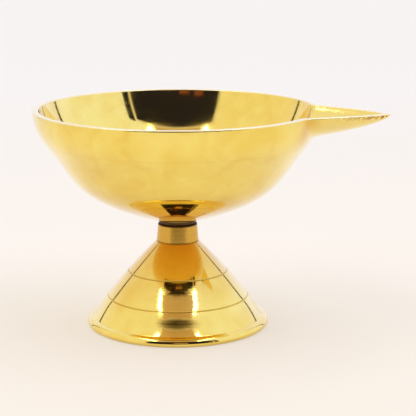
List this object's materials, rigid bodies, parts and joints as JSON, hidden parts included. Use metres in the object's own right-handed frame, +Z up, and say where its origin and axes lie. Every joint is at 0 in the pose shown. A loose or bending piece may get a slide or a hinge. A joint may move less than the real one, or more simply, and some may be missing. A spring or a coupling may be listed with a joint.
{
  "type": "spouted oil lamp",
  "caption": "Polished brass spouted bowl lamp for ghee or oil, screwed by a stud onto a hollow conical foot with incised lines.",
  "frame": {"origin": "on the lamp's axis, in the plane of the foot's base", "axes": "+Z up along the lamp's axis, +X along the spout, +Y to the left of the spout"},
  "size_m": [0.0987, 0.08, 0.0614],
  "materials": {
    "bowl_brass": "mirror polish, cast inside the spout",
    "foot_brass": "mirror polish with incised lines, fine turning marks on the neck",
    "stud_brass": "dull, as threaded"
  },
  "bodies": {
    "foot": {"foot": "foot_brass"},
    "stud": {"stud": "stud_brass"},
    "bowl": {"bowl": "bowl_brass"}
  },
  "joints": [
    {"name": "stud_lift", "type": "slide", "parent": "foot", "child": "stud", "axis": [0, 0, 1], "range_m": [0, 0.006]},
    {"name": "bowl_turn", "type": "hinge", "parent": "stud", "child": "bowl", "pos_m": [0, 0, 0.02905], "axis": [0, 0, 1], "range_deg": [0, 2160]}
  ],
  "couplings": [
    {"joint": "stud_lift", "follows": "bowl_turn", "m_per_rad": 0.00015915}
  ]
}
